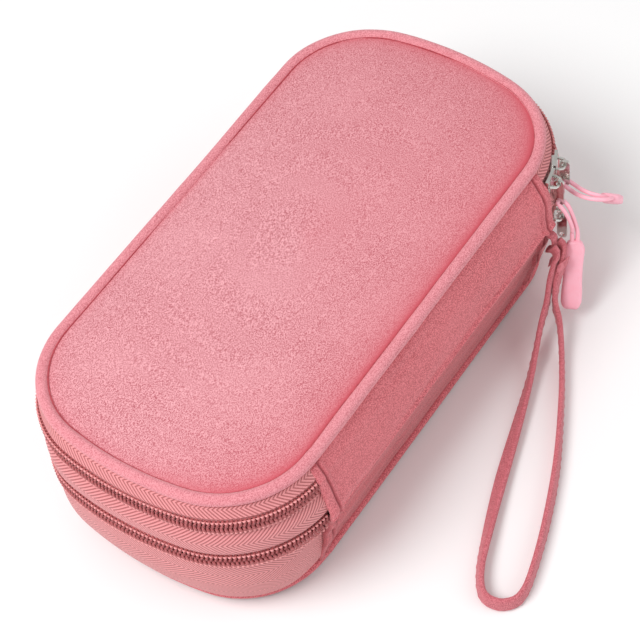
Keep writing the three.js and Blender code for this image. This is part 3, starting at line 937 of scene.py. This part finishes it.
def spine_panel(name, outer, hinge_z, nodes, seed, material):
    """Half of the spine's cloth, hemmed at both ends. hinge_z is not used."""
    face = smooth_between([(u * MM, z * MM) for u, z in outer], 6)
    stations = spine_side()
    total = lengths(stations, False)[-1]

    def profile_at(s):
        edge = min(s, total - s)
        hem = 1 if edge < HEM_WIDTH else max(0.0, 1 - (edge - HEM_WIDTH) / (0.5 * MM))
        tip = math.sqrt(max(0.0, 1 - (1 - min(1.0, edge / (0.9 * MM))) ** 2))
        thickness = (1.1 + 0.9 * hem) * MM * (0.35 + 0.65 * tip)
        pulled = []
        for i, (u, z) in enumerate(face):
            rise = i / (len(face) - 1)
            ripple = wander(s, seed + rise, 0.045, 1.0 * MM) * math.sin(math.pi * rise)
            fine = wander(s, seed + 3 + rise * 2, 0.012, 0.25 * MM)
            stitch = -0.8 * MM * math.exp(-(((edge - HEM_STITCH) / (0.45 * MM)) ** 2))
            puff = 0.9 * MM * hem
            pulled.append((u + ripple + fine + stitch + puff - (1 - tip) * 0.5 * MM, z))
        return cloth_strip(pulled, thickness)

    # Painted shade: a dark line along the crease of the hem's stitching.
    def shade_at(s):
        edge = min(s, total - s)
        return 0.95 * math.exp(-(((edge - HEM_STITCH) / (0.5 * MM)) ** 2))

    panel = sweep(name, stations, profile_at, False, material, 60, shade_at)
    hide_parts(*nodes)
    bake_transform(panel)
    return panel


def make_spine():
    low, high = LOWER_ZIP_Z / MM, UPPER_ZIP_Z / MM
    edge = TOP_SEAM_Z / MM - 1.8
    upper = [(0.7, low - 0.2), (1.1, low + 0.8), (0.6, low + 3.5), (-1.2, high - 2)]
    upper += [(-3, high + 3), (-5, edge)]
    lower = [(-7.9, 3.4), (-6.6, 8.5), (-4.3, 17), (-2, 26), (-0.6, low - 2), (0.2, low - 0.6)]
    upper_nodes = ["middle_spine", "lid_spine"]
    spine_panel("spine_upper_cloth", upper, UPPER_ZIP_Z, upper_nodes, 21, spine_cloth)
    lower_nodes = ["tray_spine"]
    spine_panel(
        "spine_lower_cloth", lower, LOWER_ZIP_Z, lower_nodes, 27, spine_shade_cloth
    )


make_spine()


# ---------- inside ----------
def lining_walls(name, body, low, high, insets):
    """The lining inside the zipped walls and the spine."""
    points = [(-insets[0], low), (-insets[1], (low + high) / 2), (-insets[2], high)]
    profile = cloth_strip(points, 0.5 * MM)
    ring = sweep(name, whole_outline(), lambda s: profile, True, lining_cloth)
    return finish_piece(ring, body, "lining")


def lining_sheet(name, inset, low, high, body, node, puff):
    """A flat sheet that fills the outline and rises by puff towards its middle."""
    outline = whole_outline()
    rings = 14
    vertices = []
    count = len(outline)
    for face_z, sign in ((low, -1), (high, 1)):
        for i in range(rings):
            t = 1 - (i / rings)
            for x, y, nx, ny in outline:
                px, py = (x - nx * inset) * t, (y - ny * inset) * t
                rise = puff * (1 - t**3) if sign > 0 else 0
                rise += noise.noise(Vector((px * 30, py * 30, 8.8))) * 0.2 * MM * (1 if sign > 0 else 0)
                vertices.append((px, py, face_z + rise))
        vertices.append((0, 0, face_z + (puff if sign > 0 else 0)))
    block = rings * count + 1
    faces = disc_faces(0, rings, count, False) + disc_faces(block, rings, count, True)
    for j in range(count):
        k = (j + 1) % count
        faces.append((j, k, block + k, block + j))
    sheet = new_object(name, vertices, faces, lining_cloth, [(v[0], v[1]) for v in vertices], 50)
    return finish_piece(sheet, body, "lining", node)


def net_pocket(name, node, body, lip_up):
    """A flat net pocket with a bound upper edge."""
    low, high = (Vector(p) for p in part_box(node))
    steps_x, steps_y = 28, 14
    vertices, faces = [], []
    thick = high.z - low.z
    for side in (0, 1):
        for i in range(steps_x + 1):
            for j in range(steps_y + 1):
                u, v = i / steps_x, j / steps_y
                slack = math.sin(math.pi * u) * math.sin(math.pi * v) * 0.6 * MM
                slack += noise.noise(Vector((u * 5, v * 3, 2.2))) * 0.15 * MM
                x = low.x + (high.x - low.x) * u
                y = low.y + (high.y - low.y) * v
                z = low.z + thick * side + (slack if lip_up else -slack)
                vertices.append((x, y, z))
    layer = (steps_x + 1) * (steps_y + 1)
    row = steps_y + 1
    for side in (0, 1):
        for i in range(steps_x):
            for j in range(steps_y):
                a = side * layer + i * row + j
                face = (a, a + row, a + row + 1, a + 1)
                faces.append(face if side else face[::-1])
    rim = [i * row for i in range(steps_x + 1)]
    rim += [steps_x * row + j for j in range(1, row)]
    rim += [i * row + steps_y for i in reversed(range(steps_x))]
    rim += [j for j in reversed(range(1, steps_y))]
    for a, b in zip(rim, rim[1:] + rim[:1]):
        faces.append((a, b, b + layer, a + layer))
    net = new_object(name, vertices, faces, pocket_net, [(v[0], v[1]) for v in vertices], 50)
    finish_piece(net, body, "pocket_mesh", node)
    mid = (low.z + high.z) / 2
    inset = 0.5 * MM
    edge = []
    for i in range(61):
        u = i / 60
        edge.append(Vector((low.x + inset + (high.x - low.x - 2 * inset) * u, high.y - 1.4 * MM, mid)))
    binding = tube(
        name + "_binding",
        edge,
        lambda t, tangent: (Vector((0, 1.6 * MM, 0)), Vector((0, 0, 0.75 * MM))),
        elastic_cloth,
    )
    finish_piece(binding, body, "elastic")


def elastic_strip(name, node):
    """Elastic sewn down between loops; a bar of stitches stands at each tack."""
    low, high = (Vector(p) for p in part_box(node))
    loops = 4
    pitch = (high.y - low.y) / loops
    thickness = 0.8 * MM
    rise = high.z - low.z - thickness
    loop_share = 14 / 19
    steps = 15
    line = []
    for i in range(loops):
        for k in range(steps):
            u = k / steps
            y = low.y + pitch * (i + u)
            inside = (u - 0.5) / loop_share + 0.5
            height = rise * math.sin(math.pi * inside) ** 0.8 if 0 < inside < 1 else 0
            line.append((y, low.z + height))
    line.append((high.y, low.z))
    vertices, faces = [], []
    columns = 9
    for y, z in line:
        for layer in (0, 1):
            for c in range(columns):
                x = low.x + (high.x - low.x) * c / (columns - 1)
                rib = 0.08 * MM * math.cos(2 * math.pi * c / 2) * layer
                vertices.append((x, y, z + layer * thickness + rib))
    row = 2 * columns
    for i in range(len(line) - 1):
        for c in range(columns - 1):
            a = i * row + c
            faces.append((a, a + row, a + row + 1, a + 1))
            top = a + columns
            faces.append((top, top + 1, top + row + 1, top + row))
        for c in (0, columns - 1):
            a = i * row + c
            face = (a, a + columns, a + row + columns, a + row)
            faces.append(face if c == 0 else face[::-1])
    for end in (0, (len(line) - 1) * row):
        ring = [end + c for c in range(columns)] + [end + columns + c for c in reversed(range(columns))]
        faces.append(tuple(ring if end == 0 else reversed(ring)))
    strip = new_object(name, vertices, faces, elastic_cloth, [(v[0], v[1]) for v in vertices], 50)
    finish_piece(strip, "middle", "elastic", node)
    spots = []
    for i in range(1, loops):
        for c in range(8):
            x = low.x + (high.x - low.x) * (c + 0.5) / 8
            spot = Vector((x, low.y + pitch * i, low.z + thickness))
            spots.append((spot, Vector((1, 0, 0)), Vector((0, 0, 1))))
    tack = stitches(name + "_tacks", spots, 1.6 * MM, 0.2 * MM, coil_thread)
    finish_piece(tack, "middle", "elastic")


def make_inside():
    divider = LOWER_ZIP_Z + 3.4 * MM
    lid = TOP_SEAM_Z - 2.7 * MM
    tray_top, middle_top = LOWER_ZIP_Z - 3 * MM, UPPER_ZIP_Z - 3 * MM
    lining_walls("tray_inner_lining", "tray", 5 * MM, tray_top, (10.5 * MM, 7 * MM, 3.9 * MM))
    middle_low = divider + 2 * MM
    middle_insets = (3.6 * MM, 3.4 * MM, 4.7 * MM)
    lining_walls("middle_inner_lining", "middle", middle_low, middle_top, middle_insets)
    lining_sheet("tray_floor", 9 * MM, 4.3 * MM, 4.9 * MM, "tray", "tray_lining", 0.4 * MM)
    pad_low, pad_high = divider + 0.2 * MM, divider + 2.4 * MM
    lining_sheet("divider_pad", 2.9 * MM, pad_low, pad_high, "middle", "divider_panel", 0.6 * MM)
    lining_sheet("lid_inner", PANEL_INSET, lid + 0.1 * MM, lid + 0.7 * MM, "lid", "lid_lining", 0.2 * MM)
    net_pocket("tray_net", "tray_mesh_pocket", "tray", True)
    net_pocket("lid_net", "lid_mesh_pocket", "lid", False)
    elastic_strip("elastic_near", "elastic_loops_near")
    elastic_strip("elastic_far", "elastic_loops_far")


make_inside()


# ---------- sliders and tabs ----------
def polish_metal(node):
    """The CAD metal pieces keep their shape and get rounded edges and a nickel finish."""
    piece = frame["nodes"][node]
    piece.data.materials.clear()
    piece.data.materials.append(nickel)
    bevel = piece.modifiers.new("rounded_edges", "BEVEL")
    bevel.width = 0.16 * MM
    bevel.segments = 2
    bevel.limit_method = "ANGLE"
    bevel.angle_limit = math.radians(40)


for zip_end in ("upper_slider_a", "upper_slider_b", "lower_slider"):
    polish_metal(zip_end)
for metal_tab in ("upper_tab_a", "upper_tab_b", "lower_tab"):
    polish_metal(metal_tab)


# ---------- rubber pulls ----------
PULL_A_ROUTE = [
    (65.95, -50.74, 42.1),
    (66.1, -53.4, 39.4),
    (66.4, -55.6, 33),
    (65.6, -56.6, 28),
    (62.4, -58, 20),
    (55, -61.2, 6.5),
]
PULL_B_ROUTE = [
    (73.4, -48.34, 42.1),
    (73.6, -51, 40.8),
    (73, -53.9, 40.9),
    (72.8, -57.6, 41.4),
    (74.2, -61, 41),
    (78.4, -61.8, 37),
    (90.5, -56.3, 20),
]
PULL_STEP = 0.8 * MM
PULL_WIRE = 0.68 * MM  # radius of the pull's cord
GRIP_LENGTH = 23 * MM
GRIP_SIDES = 20


def make_pull(name, route, body, node):
    points = even_points([Vector(p) * MM for p in route], PULL_STEP)
    start = max(2, round(len(points) - 1 - GRIP_LENGTH / PULL_STEP))
    cord_line, grip_line = points[: start + 3], points[start:]

    def frame_of(tangent):
        side = Vector((tangent.y, -tangent.x, 0))
        side = side.normalized() if side.length > 0.05 else Vector((1, 0, 0))
        return side, tangent.cross(side).normalized()

    def grip_ring(t, tangent):
        side, up = frame_of(tangent)
        shoulder = min(1.0, t / 0.13)
        tip = min(1.0, (1 - t) / 0.1)
        waist = 1 - 0.1 * math.sin(math.pi * min(1, max(0, (t - 0.15) / 0.6)))
        width = 3.3 * MM * waist * (0.42 + 0.58 * shoulder**0.5) * (0.62 + 0.38 * tip**0.6)
        thick = 1.5 * MM * (0.75 + 0.25 * shoulder) * (0.6 + 0.4 * tip**0.5)
        return side * width, up * thick

    grip = tube(name + "_grip", grip_line, grip_ring, rubber, GRIP_SIDES)
    flatten_grip(grip, grip_line, grip_ring)
    strands = []
    for sign in (1, -1):
        strand = []
        for i, point in enumerate(cord_line):
            side, up = frame_of(direction_at(cord_line, i))
            t = i / (len(cord_line) - 1)
            spread = (1.15 - 0.35 * t) * MM
            strand.append(point + side * (sign * spread) + up * (sign * 0.25 * MM * math.sin(6 * t)))
        strands.append(strand)
    path = strands[0][::-1] + strands[1]

    def cord_ring(t, tangent):
        side, up = frame_of(tangent)
        return side * PULL_WIRE, up * PULL_WIRE

    cord = tube(name + "_cord", path, cord_ring, rubber, 10)
    finish_piece(cord, body, "soft_rubber", node)
    finish_piece(grip, body, "soft_rubber")
    tuple(path[0])
    sum((b - a).length for a, b in zip(path, path[1:]))
    [tuple(p) for p in path]


def flatten_grip(grip, line, ring_at):
    """Squares off the grip's section: flat faces and small round edges."""
    for i, centre in enumerate(line):
        wide, thick = ring_at(i / (len(line) - 1), direction_at(line, i))
        for j in range(GRIP_SIDES):
            angle = 2 * math.pi * j / GRIP_SIDES
            flat = wide * power(math.cos(angle), 0.6)
            face = thick * power(math.sin(angle), 0.35)
            grip.data.vertices[i * GRIP_SIDES + j].co = centre + flat + face


make_pull("pull_a_rubber", PULL_A_ROUTE, "tab_a", "pull_a")
make_pull("pull_b_rubber", PULL_B_ROUTE, "tab_b", "pull_b")


# ---------- stage ----------
def make_stage():
    mesh = bpy.data.meshes.new("floor")
    half = 3.0
    corners = [(-half, -half, 0), (half, -half, 0), (half, half, 0), (-half, half, 0)]
    mesh.from_pydata(corners, [], [(0, 1, 2, 3)])
    floor = bpy.data.objects.new("floor", mesh)
    bpy.context.collection.objects.link(floor)
    material, _, _, shader = node_material("floor")
    shader.inputs["Base Color"].default_value = (0.92, 0.92, 0.92, 1)
    shader.inputs["Roughness"].default_value = 0.9
    mesh.materials.append(material)


def area_light(name, position, size, watts):
    data = bpy.data.lights.new(name, "AREA")
    data.shape = "DISK"
    data.size = size
    data.energy = watts
    light = bpy.data.objects.new(name, data)
    light.location = position
    light.rotation_euler = (-Vector(position)).to_track_quat("-Z", "Y").to_euler()
    bpy.context.collection.objects.link(light)


def make_lights():
    world = bpy.data.worlds.new("studio")
    world.use_nodes = True
    background = world.node_tree.nodes["Background"]
    background.inputs["Color"].default_value = (1, 1, 1, 1)
    background.inputs["Strength"].default_value = 0.62
    bpy.context.scene.world = world
    area_light("key", (-0.6, 0.2, 0.9), 0.6, 8)
    area_light("fill", (0.5, -1.1, 0.8), 1.2, 3)
    bpy.context.scene.view_settings.view_transform = "Standard"
    bpy.context.scene.view_settings.look = "None"


make_stage()
make_lights()
